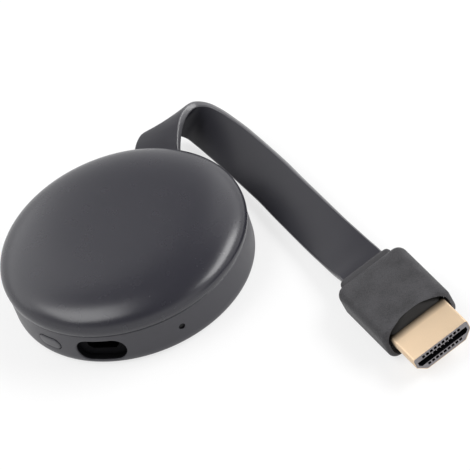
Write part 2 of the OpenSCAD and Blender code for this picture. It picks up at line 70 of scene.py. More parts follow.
def camera():
    ahead = turned((0, math.cos(ELEVATION), -math.sin(ELEVATION)))
    side = turned((1, 0, 0))
    up = turned((0, math.sin(ELEVATION), math.cos(ELEVATION)))
    right = side * math.cos(ROLL) + up * math.sin(ROLL)
    top = up * math.cos(ROLL) - side * math.sin(ROLL)
    data = bpy.data.cameras.new("camera")
    data.sensor_width, data.lens = SENSOR, LENS
    data.clip_start, data.clip_end = CLIP_NEAR, CLIP_FAR
    eye = bpy.data.objects.new("camera", data)
    bpy.context.collection.objects.link(eye)
    place = Matrix((right, top, -ahead)).transposed().to_4x4()
    place.translation = (right * ASIDE + top * BELOW - ahead * DISTANCE) * MM
    eye.matrix_world = place
    bpy.context.scene.camera = eye


camera()
bpy.context.scene.view_settings.view_transform = "Standard"

# Sizes of the CAD model

# Four differ from it: the collar is 0.2 mm and its neck 0.3 mm smaller all round, the bevel at the
# seam is 0.05 mm finer, and the inner floor FLOOR_IN lies lower than the top of the CAD's floor,
# FLOOR_T, so that a row of faces fits below the tunnel of the port.
PUCK_R, RIM_OUT, WALL_DRAFT, HEEL_W, WALL_T = 27.0, 0.3, 0.15, 1.1, 1.6
SEAM_R = PUCK_R - RIM_OUT
WALL_R = SEAM_R - WALL_DRAFT
BASE_R = WALL_R - HEEL_W
ROOM_R = SEAM_R - WALL_T
PUCK_H, SEAM_Z, RIM_Z, HEEL_H = 14.2, 8.4, 9.7, 2.3
FLOOR_T, FLOOR_IN, COVER_T, BEVEL = 1.4, 0.85, 1.5, 0.1
# Half the fine gap that is left open at the seam
SEAM_GAP = 0.03
SEAM_TOP = SEAM_Z - SEAM_GAP
# Power of the cover's outline, which is between an ellipse and a box
SHOULDER = 5.0
FIT_GAP, LIP_T, LIP_H = 0.1, 0.8, 0.9
PORT_ANGLE, PORT_W, PORT_H, PORT_Z = 270, 11.0, 5.6, 4.05
KEY_ANGLE, KEY_W, KEY_H, KEY_Z, KEY_GAP = 243, 5.8, 2.9, 4.4, 0.12
LIGHT_ANGLE, LIGHT_D, LIGHT_Z = 309, 1.4, 4.7
CABLE_W, CABLE_T = 10.4, 1.8
EXIT_Y, EXIT_Z, CORD_LEAD = 26.0, 6.85, 2.0
YAW, LEAN = math.radians(43.5), math.radians(-7.2)
SHELL_W, SHELL_H, SHELL_LEN, SHELL_TAIL = 13.9, 4.45, 8.8, 6.0
SHELL_LOW_W, SHELL_SIDE_H, SHELL_ROUND = 9.9, 2.45, 0.6
GRIP_W, GRIP_H, GRIP_LEN, GRIP_R = 17.2, 7.8, 20.2, 2.2
COLLAR_W, COLLAR_H, COLLAR_LEN, NECK_LEN, NECK_W, NECK_H = 12.8, 4.6, 1.5, 1.5, 11.2, 3.0

# The free cable's route, [x, y, z], and the way its width points there, both as in the CAD model
ROUTE = [
    [-0.4, 30.2, 7.3], [-0.5, 32.4, 7.8], [-0.3, 34.7, 8.2], [0.4, 37, 8], [1.5, 39.1, 7.3],
    [3.2, 40.5, 6.2], [5.8, 40.5, 5.2], [8.7, 38.7, 4.7], [11.9, 36.1, 4.4], [15.4, 33, 4.3],
    [19.2, 29.4, 4.2], [23.2, 25.5, 4.2], [27.2, 21.5, 4.2], [31.2, 17.2, 4.2], [35.2, 13, 4.2],
    [39.2, 8.8, 4.2], [43.2, 4.6, 4.3], [46.8, 0.9, 4.5], [49.8, -2.1, 4.6],
]
WIDTH_DIRS = [
    [1, -0.02, 0.09], [0.98, 0, 0.19], [0.95, 0.05, 0.31], [0.89, 0.09, 0.45],
    [0.81, 0.09, 0.58], [0.71, 0.12, 0.69], [0.66, 0.19, 0.72], [0.64, 0.31, 0.7],
    [0.62, 0.4, 0.67], [0.59, 0.49, 0.64], [0.56, 0.56, 0.61], [0.56, 0.59, 0.59],
    [0.56, 0.6, 0.57], [0.58, 0.61, 0.54], [0.6, 0.62, 0.5], [0.6, 0.66, 0.45],
    [0.6, 0.71, 0.37], [0.62, 0.73, 0.28], [0.66, 0.72, 0.2],
]
CORD_END = Vector((53.5, -5.8, 4.8))
PLUG_DIR = Vector((math.sin(YAW), -math.cos(YAW), 0))
PLUG_ACROSS = Vector((math.cos(LEAN) * math.cos(YAW), math.cos(LEAN) * math.sin(YAW),
                      -math.sin(LEAN)))
PLUG_LEN = SHELL_LEN + GRIP_LEN + COLLAR_LEN + NECK_LEN
# Place of the grip's front, measured along the plug's direction
GRIP_FRONT = CORD_END.dot(PLUG_DIR) + PLUG_LEN - SHELL_LEN

# Two numbers nearer than this are the same. Points nearer than MERGE become one.
TINY = 1e-6
MERGE = 1e-7


# Mesh helpers
class Shape:
    """Vertices and faces gathered in millimetres."""

    def __init__(self):
        self.v, self.f = [], []

    def add(self, p):
        self.v.append(tuple(p))
        return len(self.v) - 1

    def ring(self, pts):
        return [self.add(p) for p in pts]

    def bridge(self, *rings):
        """Bands of faces from each ring to the next."""
        for a, b in zip(rings, rings[1:]):
            n = len(a)
            for i in range(n):
                self.f.append((a[i], a[(i + 1) % n], b[(i + 1) % n], b[i]))

    def cap(self, ring):
        self.f.append(tuple(ring))

    def loft(self, rings, caps=True):
        ids = [self.ring(r) for r in rings]
        self.bridge(*ids)
        if caps:
            self.cap(ids[0][::-1])
            self.cap(ids[-1])
        return ids

    def join(self, other, x, y):
        """Takes in another shape, moved aside."""
        start = len(self.v)
        self.v += [(p[0] + x, p[1] + y, p[2]) for p in other.v]
        self.f += [tuple(k + start for k in f) for f in other.f]

    def build(self, name, material, smooth=40, place=None, weld=False):
        """Makes the object. Edges that turn by more than smooth, in degrees, stay sharp."""
        mesh = bpy.data.meshes.new(name)
        place = place or Matrix.Identity(4)
        mesh.from_pydata([tuple((place @ Vector(p)) * MM) for p in self.v], [], self.f)
        bm = bmesh.new()
        bm.from_mesh(mesh)
        if weld:
            bmesh.ops.remove_doubles(bm, verts=bm.verts, dist=MERGE)
        bmesh.ops.recalc_face_normals(bm, faces=bm.faces)
        bm.to_mesh(mesh)
        bm.free()
        mesh.shade_smooth()
        mesh.set_sharp_from_angle(angle=math.radians(smooth))
        mesh.materials.append(material)
        obj = bpy.data.objects.new(name, mesh)
        bpy.context.collection.objects.link(obj)
        return obj


def lathe(shape, profile, segs):
    """Turns a closed outline of (radius, height) points about Z. A radius of 0 is one point."""
    turns = [2 * math.pi * i / segs for i in range(segs)]
    rings = []
    for r, z in profile:
        if r < TINY:
            rings.append([shape.add((0, 0, z))])
        else:
            rings.append(shape.ring([(r * math.cos(a), r * math.sin(a), z) for a in turns]))
    for a, b in zip(rings, rings[1:] + rings[:1]):
        if len(a) > 1 and len(b) > 1:
            shape.bridge(a, b)
        elif len(a) > 1 or len(b) > 1:
            tip, rim = (a[0], b) if len(a) == 1 else (b[0], a)
            for i in range(segs):
                shape.f.append((tip, rim[i], rim[(i + 1) % segs]))


def box(w, h, x=0, z=0):
    """The corners of a rectangle round a point."""
    return [(x - w / 2, z - h / 2), (x + w / 2, z - h / 2),
            (x + w / 2, z + h / 2), (x - w / 2, z + h / 2)]


def pill_loop(w, h, grow):
    """Points of a pill outline, grown outwards."""
    turn_steps, flat_steps = 14, 6
    half, r = (w - h) / 2, h / 2 + grow
    pts = []
    for side in (1, -1):
        for k in range(turn_steps + 1):
            a = math.radians(-90 * side + 180 * k / turn_steps)
            pts.append((side * half + r * math.cos(a), r * math.sin(a)))
        for k in range(1, flat_steps):
            x = half - 2 * half * k / flat_steps
            pts.append((x * side, side * r))
    return pts


def pill_gap(w, h, x, z):
    """How far a point lies outside a pill outline."""
    return math.hypot(max(abs(x) - (w - h) / 2, 0), z) - h / 2


def rounded_loop(corners, radii, steps=6):
    """A closed outline with each corner rounded by its own radius."""
    pts = []
    n = len(corners)
    for i in range(n):
        p, q, s = (Vector(corners[k % n]) for k in (i - 1, i, i + 1))
        u, v = (p - q).normalized(), (s - q).normalized()
        r = radii[i]
        half = u.angle(v) / 2
        back = r / math.tan(half)
        mid = (u + v).normalized()
        c = q + mid * (r / math.sin(half))
        a0 = math.atan2(*(q + u * back - c).yx)
        a1 = math.atan2(*(q + v * back - c).yx)
        turn = (a1 - a0 + math.pi) % (2 * math.pi) - math.pi
        for k in range(steps + 1):
            a = a0 + turn * k / steps
            pts.append((c.x + r * math.cos(a), c.y + r * math.sin(a)))
    return pts


def oval(a, b):
    """A closed curve between an ellipse and a rounded box, from its half width and half height."""
    power, points = 3.0, 72
    pts = []
    for k in range(points):
        turn = 2 * math.pi * k / points
        c, s = math.cos(turn), math.sin(turn)
        pts.append((a * math.copysign(abs(c) ** (2 / power), c),
                    b * math.copysign(abs(s) ** (2 / power), s)))
    return pts


def inside(loop, x, y):
    """Whether a point lies inside a closed outline."""
    odd = False
    for (x0, y0), (x1, y1) in zip(loop, loop[1:] + loop[:1]):
        if (y0 > y) != (y1 > y) and x < x0 + (y - y0) / (y1 - y0) * (x1 - x0):
            odd = not odd
    return odd


def fill(shape, border, holes, inner, flat):
    """Triangles between a border, holes and loose points, given as ids. flat gives 2D places."""
    ids = list(border) + [i for h in holes for i in h] + list(inner)
    coords = [Vector(flat(shape.v[i])) for i in ids]
    edges, start = [], 0
    for loop in [border] + list(holes):
        n = len(loop)
        edges += [(start + k, start + (k + 1) % n) for k in range(n)]
        start += n
    verts, _, faces, origin, _, _ = delaunay_2d_cdt(coords, edges, [], 0, MERGE)
    rim = [tuple(flat(shape.v[i])) for i in border]
    gaps = [[tuple(flat(shape.v[i])) for i in h] for h in holes]
    for face in faces:
        x = sum(verts[k][0] for k in face) / len(face)
        y = sum(verts[k][1] for k in face) / len(face)
        if inside(rim, x, y) and not any(inside(g, x, y) for g in gaps):
            shape.f.append(tuple(ids[origin[k][0]] for k in face))


def paint(obj, faces, finish):
    """Gives some faces of a piece a second material."""
    obj.data.materials.append(finish)
    for k in faces:
        obj.data.polygons[k].material_index = 1
    return obj


# Materials

# The values of the noise where the mottling is darkest and lightest, the detail of the slow and of
# the fine noise, how rough the clear coat is, and how deep the fine relief is
MOTTLE_LOW, MOTTLE_HIGH = 0.3, 0.7
SLOW_DETAIL, FINE_DETAIL = 3, 2
COAT_ROUGHNESS = 0.3
RELIEF = 0.1


def material(name, colour, rough, spread=0.05, rough_spread=0.06, bump=0.02, grain=5200.0,
             metal=0.0, specular=0.5, coat=0.0, brushed=None, smear=260.0, painted_shade=None):
    """A slow and a fine mottling of the colour, uneven gloss and fine relief.

    smear and grain are the scales of the slow and the fine noise, and brushed stretches the fine
    one. painted_shade is (axis, full, dim, least), a painted shade: along the axis the colour goes
    from all of it at the place full down to the share least at the place dim.
    """
    mat = bpy.data.materials.new(name)
    mat.use_nodes = True
    tree = mat.node_tree
    nodes, links = tree.nodes, tree.links
    shader = nodes["Principled BSDF"]
    shader.inputs["Metallic"].default_value = metal
    shader.inputs["Specular IOR Level"].default_value = specular
    shader.inputs["Coat Weight"].default_value = coat
    shader.inputs["Coat Roughness"].default_value = COAT_ROUGHNESS
    where = nodes.new("ShaderNodeTexCoord")
    stretch = nodes.new("ShaderNodeMapping")
    links.new(where.outputs["Object"], stretch.inputs["Vector"])
    if brushed:
        stretch.inputs["Scale"].default_value = brushed

    def noise(scale, detail, source):
        n = nodes.new("ShaderNodeTexNoise")
        n.inputs["Scale"].default_value = scale
        n.inputs["Detail"].default_value = detail
        links.new(source, n.inputs["Vector"])
        return n.outputs["Fac"]

    slow = noise(smear, SLOW_DETAIL, where.outputs["Object"])
    fine = noise(grain, FINE_DETAIL, stretch.outputs["Vector"])
    mixed = nodes.new("ShaderNodeMix")
    mixed.inputs["Factor"].default_value = 0.5
    links.new(slow, mixed.inputs["A"])
    links.new(fine, mixed.inputs["B"])
    tint = nodes.new("ShaderNodeValToRGB")
    dark, light = tint.color_ramp.elements
    dark.position, light.position = MOTTLE_LOW, MOTTLE_HIGH
    dark.color = [c * (1 - spread) for c in colour] + [1]
    light.color = [min(1, c * (1 + spread)) for c in colour] + [1]
    links.new(mixed.outputs["Result"], tint.inputs["Fac"])
    links.new(tint.outputs["Color"], shader.inputs["Base Color"])
    # Painted shade: the colour is darkened along the axis
    if painted_shade:
        axis, full, dim, least = painted_shade
        depth = nodes.new("ShaderNodeVectorMath")
        depth.operation = "DOT_PRODUCT"
        depth.inputs[1].default_value = axis
        links.new(where.outputs["Object"], depth.inputs[0])
        share = nodes.new("ShaderNodeMapRange")
        share.inputs["From Min"].default_value = dim * MM
        share.inputs["From Max"].default_value = full * MM
        share.inputs["To Min"].default_value = least
        links.new(depth.outputs["Value"], share.inputs["Value"])
        dimmed = nodes.new("ShaderNodeVectorMath")
        dimmed.operation = "SCALE"
        links.new(tint.outputs["Color"], dimmed.inputs[0])
        links.new(share.outputs["Result"], dimmed.inputs["Scale"])
        links.new(dimmed.outputs["Vector"], shader.inputs["Base Color"])
    gloss = nodes.new("ShaderNodeMapRange")
    gloss.inputs["To Min"].default_value = rough - rough_spread
    gloss.inputs["To Max"].default_value = rough + rough_spread
    links.new(slow, gloss.inputs["Value"])
    links.new(gloss.outputs["Result"], shader.inputs["Roughness"])
    relief = nodes.new("ShaderNodeBump")
    relief.inputs["Strength"].default_value = bump
    relief.inputs["Distance"].default_value = RELIEF * MM
    links.new(fine, relief.inputs["Height"])
    links.new(relief.outputs["Normal"], shader.inputs["Normal"])
    return mat


COVER = material("satin_cover", (0.019, 0.0185, 0.026), 0.27, spread=0.03, rough_spread=0.015,
                 bump=0.03, specular=0.6)
HOUSING = material("satin_housing", (0.036, 0.0352, 0.043), 0.4, bump=0.08)
KEY = material("key_plastic", (0.038, 0.0372, 0.045), 0.36, bump=0.05)
JACKET = material("cable_jacket", (0.024, 0.0235, 0.03), 0.4, bump=0.06, smear=180.0,
                  specular=0.28)
# The cable's narrow edges are smoother than its flat sides, and coloured lighter as a painted
# highlight
JACKET_HIGHLIGHT = material("cable_edge_highlight", (0.078, 0.077, 0.084), 0.34, bump=0.06, smear=180.0,
                       specular=0.7)
GRIP = material("grip_mould", (0.046, 0.045, 0.0485), 0.52, spread=0.45, bump=1.0, grain=3800.0,
                specular=0.25)
# The core round the shell in the grip's scoop: coloured darker than the grip as painted shade
SCOOP_SHADE = material("scoop_painted_shade", (0.022, 0.021, 0.0205), 0.55, spread=0.15, specular=0.2)
COLLAR = material("collar_rubber", (0.045, 0.044, 0.0475), 0.55, spread=0.15, bump=0.4,
                  grain=4200.0, specular=0.25)
# Painted shade on the plating, for the grip's shadow and its dark reflection: it has its full
# colour this far in front of the grip, and is darkened to the least share of it this far inside
# the scoop
GOLD_UNSHADED, GOLD_SHADED, GOLD_SHADE_LEAST = 1.8, 0.6, 0.02
GOLD = material("shell_plating", (0.74, 0.58, 0.41), 0.56, spread=0.03, bump=0.03, metal=1.0,
                brushed=(1, 1, 0.2),
                painted_shade=(PLUG_DIR, GRIP_FRONT + GOLD_UNSHADED, GRIP_FRONT - GOLD_SHADED, GOLD_SHADE_LEAST))
PINS = material("contact_gold", (0.85, 0.62, 0.3), 0.3, metal=1.0)
TIN = material("tinned_steel", (0.6, 0.61, 0.63), 0.36, metal=1.0, brushed=(1, 0.15, 1))
ALLOY = material("aluminium_plate", (0.7, 0.7, 0.72), 0.42, metal=1.0, brushed=(1, 0.1, 1))
INSULATOR = material("insulator_plastic", (0.195, 0.183, 0.192), 0.5, spread=0.08)
# Black plastic of the socket's tongue and the cable clamp. The walls inside the housing's holes and
# the plug's slot and wells take it too, as painted shade.
BLACK_AND_SHADE = material("black_plastic_and_painted_shade", (0.006, 0.006, 0.007), 0.6, specular=0.06)
# The power socket's shell is coloured near black: painted shade deep inside the port
SOCKET_SHADE = material("socket_painted_shade", (0.012, 0.012, 0.013), 0.55, metal=1.0,
                      brushed=(1, 0.15, 1))
BOARD = material("board_mask", (0.02, 0.13, 0.06), 0.3, spread=0.15, coat=0.3)
CHIP = material("chip_epoxy", (0.02, 0.02, 0.022), 0.55, spread=0.15)
COIL = material("coil_ferrite", (0.1, 0.1, 0.105), 0.6, spread=0.15)
CERAMIC = material("capacitor_ceramic", (0.42, 0.3, 0.18), 0.45, spread=0.1)
PAD = material("thermal_pad", (0.32, 0.37, 0.45), 0.7, spread=0.1)
# The light pipe is coloured near black: painted shade inside the light's hole
PIPE_SHADE = material("light_pipe", (0.008, 0.008, 0.009), 0.3, specular=0.2)
LED = material("led_lens", (0.75, 0.73, 0.62), 0.3, coat=0.4)
IVORY = material("connector_nylon", (0.7, 0.67, 0.57), 0.5)

FINISHES = {
    "usb_socket_shell": SOCKET_SHADE, "usb_tongue": BLACK_AND_SHADE, "usb_contacts": PINS, "light_pipe": PIPE_SHADE,
    "led_chip": LED, "main_board": BOARD, "board_screws": TIN, "processor": CHIP,
    "memory_chip": CHIP, "flash_chip": CHIP, "radio_module": TIN, "antennas": PINS,
    "crystal": TIN, "power_coils": COIL, "chip_capacitors": CERAMIC, "shield_frame": TIN,
    "shield_lid": TIN, "thermal_pad": PAD, "heat_plate": ALLOY, "cable_clamp": BLACK_AND_SHADE,
    "cable_connector": IVORY, "cable_tail": JACKET, "plug_inner_can": TIN, "plug_board": BOARD,
    "hdmi_upper_contacts": PINS, "hdmi_lower_contacts": PINS,
    "switch_body": CHIP, "switch_plunger": IVORY,
}
for node_name, finish in FINISHES.items():
    data = frame["nodes"][node_name].data
    data.materials.clear()
    data.materials.append(finish)


# The free cable

# Its bands of faces along its length, the rounding of its edges, and the largest turn that it
# smooths over, in degrees
CABLE_RINGS, CABLE_SMOOTH = 260, 50
CABLE_ROUND, CABLE_ROUND_STEPS = 0.5, 4
# How many faces on each side of the flat in the middle of a narrow edge have the edge's lighter
# colour, a painted highlight
HIGHLIGHT_FACES = 3
# Half the stretch over which a ring's direction is measured, as a share of the route
RING_SPAN = 0.001


def spline(p, i, t):
    """A smooth curve through points: its place at the share t from point i to the next."""
    n = len(p) - 1
    p1, p2 = p[i], p[i + 1]
    m1 = p[1] - p[0] if i == 0 else (p[i + 1] - p[i - 1]) / 2
    m2 = p[n] - p[n - 1] if i + 1 == n else (p[i + 2] - p[i]) / 2
    return ((2 * t**3 - 3 * t * t + 1) * p1 + (t**3 - 2 * t * t + t) * m1
            + (3 * t * t - 2 * t**3) * p2 + (t**3 - t * t) * m2)


def along(p, s):
    """The curve's place at the share s of its whole run."""
    n = len(p) - 1
    u = min(s * n, n - TINY)
    return spline(p, int(u), u - int(u))


def ribbon():
    """The flat cable, the points along its middle and their length."""
    start = Vector((0, EXIT_Y, EXIT_Z))
    route = ([start, start + Vector((0, CORD_LEAD, 0))] + [Vector(p) for p in ROUTE]
             + [CORD_END - PLUG_DIR * CORD_LEAD, CORD_END])
    dirs = [Vector((1, 0, 0))] * 2 + [Vector(d) for d in WIDTH_DIRS] + [PLUG_ACROSS] * 2
    section = rounded_loop(box(CABLE_W, CABLE_T), [CABLE_ROUND] * 4, CABLE_ROUND_STEPS)
    rings, centre = [], []
    for k in range(CABLE_RINGS + 1):
        s = k / CABLE_RINGS
        c = along(route, s)
        if k == 0:
            t = Vector((0, 1, 0))
        elif k == CABLE_RINGS:
            t = PLUG_DIR
        else:
            t = (along(route, s + RING_SPAN) - along(route, s - RING_SPAN)).normalized()
        w = along(dirs, s).normalized()
        n = w.cross(t).normalized()
        centre.append(c)
        rings.append([c + w * a + n * b for a, b in section])
    shape = Shape()
    shape.loft(rings)
    n = len(section)
    half = n // 2
    edge = [j for j in range(n) if min((j + 1) % half, -(j + 1) % half) <= HIGHLIGHT_FACES]
    narrow = [k * n + j for k in range(CABLE_RINGS) for j in edge]
    # The faces of the narrow edges take the lighter colour: a painted highlight
    piece = paint(shape.build("cable_ribbon", JACKET, smooth=CABLE_SMOOTH), narrow, JACKET_HIGHLIGHT)
    length = sum((b - a).length for a, b in zip(centre, centre[1:]))
    return piece, centre, length


cable, cable_path, cable_len = ribbon()
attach(cable, BODY)
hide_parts("ribbon_cable")


# The puck's cover

# Faces round the puck, and the largest turn that its surfaces smooth over, in degrees
SEGS = 288
PUCK_SMOOTH = 38


def dome(r, low, high):
    """From the rim in to the axis: even turns over the shoulder, then even steps of radius."""
    turn_steps, shoulder_end, flat_steps = 22, 0.72, 14
    shares = [math.cos(math.radians(90 * k / turn_steps)) ** (2 / SHOULDER)
              for k in range(turn_steps + 1)]
    shares = [t for t in shares if t >= shoulder_end]
    last = shares[-1]
    shares += [last * (1 - k / flat_steps) for k in range(1, flat_steps + 1)]
    return [(r * t, low + (high - low) * math.sqrt(1 - t**SHOULDER)) for t in shares]


def cover():
    low = SEAM_Z + SEAM_GAP
    bevel = ((1, 0), (0.45, 0.2), (0.1, 0.55))
    profile = [(SEAM_R - BEVEL * back, low + BEVEL * up) for back, up in bevel]
    # The cover rolls out from the seam to its rim
    roll_steps = 9
    for k in range(roll_steps):
        a = math.radians(90 * k / roll_steps)
        profile.append((SEAM_R + (PUCK_R - SEAM_R) * math.sin(a),
                        low + BEVEL + (RIM_Z - low - BEVEL) * (1 - math.cos(a))))
    profile += dome(PUCK_R, RIM_Z, PUCK_H)
    lip_out = ROOM_R - FIT_GAP
    lip_in, lip_z = lip_out - LIP_T, SEAM_Z - LIP_H
    under = dome(lip_in, RIM_Z, PUCK_H - COVER_T)[::-1]
    profile += under + [(lip_in, lip_z), (lip_out, lip_z), (lip_out, low)]
    shape = Shape()
    lathe(shape, profile, SEGS)
    return shape.build("cover_shell", COVER, smooth=PUCK_SMOOTH)


# The lower housing with its port, key slot, light hole and cable notch
def wall_radius(z):
    """The radius of the housing's outside at a height."""
    if z < HEEL_H:
        return BASE_R + (WALL_R - BASE_R) * math.sqrt(max(0, 1 - ((HEEL_H - z) / HEEL_H) ** 2))
    return WALL_R + (SEAM_R - WALL_R) * (z - HEEL_H) / (SEAM_Z - BEVEL - HEEL_H)


def room_radius(z):
    """The radius of the housing's inside, the same at every height."""
    return ROOM_R


def spot(angle, x, z, out):
    """A point at x beside a radius, z high and out from the axis along that radius."""
    a = math.radians(angle)
    return (out * math.cos(a) - x * math.sin(a), out * math.sin(a) + x * math.cos(a), z)


def on_wall(radius, angle, x, z, depth=0.0):
    """A point on a round wall, at x beside a radius and z high, moved in by depth."""
    return spot(angle, x, z, math.sqrt(radius(z) ** 2 - x * x) - depth)


def beside(angle, p):
    """Where a point lies when seen along a radius: its x beside that radius, and its height."""
    a = math.radians(angle)
    return (-p[0] * math.sin(a) + p[1] * math.cos(a), p[2])


def rounded_edge(shape, radius, angle, outline, middle, edge, side):
    """Rings of a pill's rounded edge on a round wall. side is 1 for a hole and -1 for a key."""
    steps = 5
    rings = []
    for k in range(steps + 1):
        a = math.radians(90 * k / steps)
        grow, depth = side * edge * (1 - math.sin(a)), edge * (1 - math.cos(a))
        rings.append(shape.ring([on_wall(radius, angle, x + middle[0], z + middle[1], depth)
                                 for x, z in pill_loop(*outline, grow)]))
    return rings


# The notch that the cable leaves through, in degrees round the puck: its middle, half its width,
# and how much wider that is on the inside, which keeps its sides about parallel. Its sill's height.
NOTCH_ANGLE, NOTCH_HALF, NOTCH_SPLAY = 90.0, 13.75, 1.02
NOTCH_Z = 5.35

# A pill outline has two flats, so the round hole of the light has very short ones
NEARLY_ROUND = 0.001
HOLES = [
    # name, direction, width, height, middle, edge rounding, half width of the patch in degrees
    ("port", PORT_ANGLE, PORT_W, PORT_H, PORT_Z, 0.3, 15.0),
    ("key", KEY_ANGLE, KEY_W + KEY_GAP * 2, KEY_H + KEY_GAP * 2, KEY_Z, 0.12, 8.0),
    ("light", LIGHT_ANGLE, LIGHT_D + NEARLY_ROUND, LIGHT_D, LIGHT_Z, 0.08, 2.75),
]
# How far a patch's border and the loose points in it stay off its hole
BORDER_GAP, LOOSE_GAP = 0.1, 0.22

# How many rows of faces the heel has, and the heights that part those above it and those inside
HEEL_ROWS = 15
WALL_ROWS = [2.9, 3.5, 4.1, 4.7, NOTCH_Z, 5.9, 6.5, 7.1, 7.7, SEAM_TOP - BEVEL]
ROOM_ROWS = [FLOOR_IN, 1.4, 2.0, 2.6, 3.2, 3.8, 4.4, 5.0, NOTCH_Z, 5.9, 6.5, 7.1, 7.5, 7.9,
             SEAM_TOP]

# The power socket's opening with its two slanted corners, and the tunnel round the port: its wall,
# its inner end, and the heights between which it is held. Faces are given by their radius.
SOCKET_HALF_W, SOCKET_HALF_H, SOCKET_SLANT, SOCKET_SET = 3.85, 1.5, 0.9, 0.7
SOCKET_FACE = ROOM_R - SOCKET_SET
TUNNEL_T, TUNNEL_IN = 0.8, 1.5
TUNNEL_END = SOCKET_FACE - TUNNEL_IN
TUNNEL_LOW, TUNNEL_HIGH = 1.05, 7.3

# Bosses under the board's screws: their directions, their radius and their bore's, how far they
# stand from the puck's axis, their top, and the faces round them
BOSS_ANGLES = (35, 145, 202, 338)
BOSS_R, BOSS_BORE, BOSS_AT, BOSS_TOP, BOSS_SEGS = 2.2, 0.6, 20.2, 5.5, 32


def wall(shape, radius, rows, loops, splay):
    """A turned wall with its notch. Gives the function that names its vertices.

    loops has each hole, the ids of the vertices on its edge here, and how far they lie outside its
    outline. splay moves the notch's sides further round, in degrees.
    """
    grid = {}
    step = 360 / SEGS

    def at(i, j):
        i %= SEGS
        if (i, j) not in grid:
            a, z = i * step, rows[j]
            off = a - NOTCH_ANGLE
            if splay and abs(abs(off) - NOTCH_HALF) < TINY and z > NOTCH_Z - TINY:
                a = NOTCH_ANGLE + math.copysign(NOTCH_HALF + splay, off)
            grid[i, j] = shape.add((radius(z) * math.cos(math.radians(a)),
                                    radius(z) * math.sin(math.radians(a)), z))
        return grid[i, j]

    covered = set()
    for (_, angle, w, h, mid, _, span), loop, grow in loops:
        i0, i1 = math.floor((angle - span) / step), math.ceil((angle + span) / step)
        heights = [shape.v[k][2] for k in loop]
        low = max(j for j, z in enumerate(rows) if z < min(heights) - BORDER_GAP)
        high = min(j for j, z in enumerate(rows) if z > max(heights) + BORDER_GAP)
        covered |= {(i % SEGS, j) for i in range(i0, i1) for j in range(low, high)}
        border = ([at(i, low) for i in range(i0, i1)] + [at(i1, j) for j in range(low, high)]
                  + [at(i, high) for i in range(i1, i0, -1)]
                  + [at(i0, j) for j in range(high, low, -1)])
        loose = []
        for i in range(i0 + 1, i1):
            for j in range(low + 1, high):
                x, z = beside(angle, shape.v[at(i, j)])
                if pill_gap(w, h, x, z - mid) > grow + LOOSE_GAP:
                    loose.append(at(i, j))
        fill(shape, border, [loop], loose, lambda p: beside(angle, p))
    for j in range(len(rows) - 1):
        for i in range(SEGS):
            off = abs((i + 0.5) * step - NOTCH_ANGLE)
            if (i, j) in covered or (off < NOTCH_HALF and rows[j] > NOTCH_Z - TINY):
                continue
            shape.f.append((at(i, j), at(i + 1, j), at(i + 1, j + 1), at(i, j + 1)))
    return at


def port_tunnel(shape, hole, mouth):
    """The tunnel from the port in to the socket, and its wall. Gives its inner edge's ids."""
    _, angle, w, h, mid, _, _ = hole

    def flat(p):
        return beside(angle, p)

    deep = shape.ring([spot(angle, x, z + mid, SOCKET_FACE) for x, z in pill_loop(w, h, 0)])
    shape.bridge(mouth, deep)
    half_w, half_h, slant = SOCKET_HALF_W, SOCKET_HALF_H, SOCKET_SLANT
    socket = [(-half_w, half_h), (-half_w, -half_h + slant), (-half_w + slant, -half_h),
              (half_w - slant, -half_h), (half_w, -half_h + slant), (half_w, half_h)]
    near, far = (shape.ring([spot(angle, x, z + mid, out) for x, z in socket])
                 for out in (SOCKET_FACE, TUNNEL_END))
    fill(shape, deep, [near], [], flat)
    shape.bridge(near, far)
    held = [(x, max(TUNNEL_LOW, min(z + mid, TUNNEL_HIGH))) for x, z in pill_loop(w, h, TUNNEL_T)]
    rear = shape.ring([spot(angle, x, z, TUNNEL_END) for x, z in held])
    fill(shape, rear, [far], [], flat)
    inner = shape.ring([on_wall(room_radius, angle, x, z) for x, z in held])
    shape.bridge(rear, inner)
    return inner


def seam_edge(shape, rows, out, into):
    """The housing's top edge with its bevel, and the notch's sill and sides."""
    last, last_in = len(rows) - 1, len(ROOM_ROWS) - 1
    sill, sill_in = rows.index(NOTCH_Z), ROOM_ROWS.index(NOTCH_Z)
    step, r = 360 / SEGS, SEAM_R - BEVEL
    top = {}

    def edge(i):
        i %= SEGS
        if i not in top:
            a = math.radians(i * step)
            top[i] = shape.add((r * math.cos(a), r * math.sin(a), SEAM_TOP))
        return top[i]

    for i in range(SEGS):
        if abs((i + 0.5) * step - NOTCH_ANGLE) < NOTCH_HALF:
            shape.f.append((out(i, sill), out(i + 1, sill), into(i + 1, sill_in), into(i, sill_in)))
        else:
            shape.f.append((out(i, last), out(i + 1, last), edge(i + 1), edge(i)))
            shape.f.append((edge(i), edge(i + 1), into(i + 1, last_in), into(i, last_in)))
    for side in (-1, 1):
        i = round((NOTCH_ANGLE + side * NOTCH_HALF) / step)
        shape.cap([out(i, j) for j in range(sill, last + 1)] + [edge(i)]
                  + [into(i, j) for j in range(last_in, sill_in - 1, -1)])


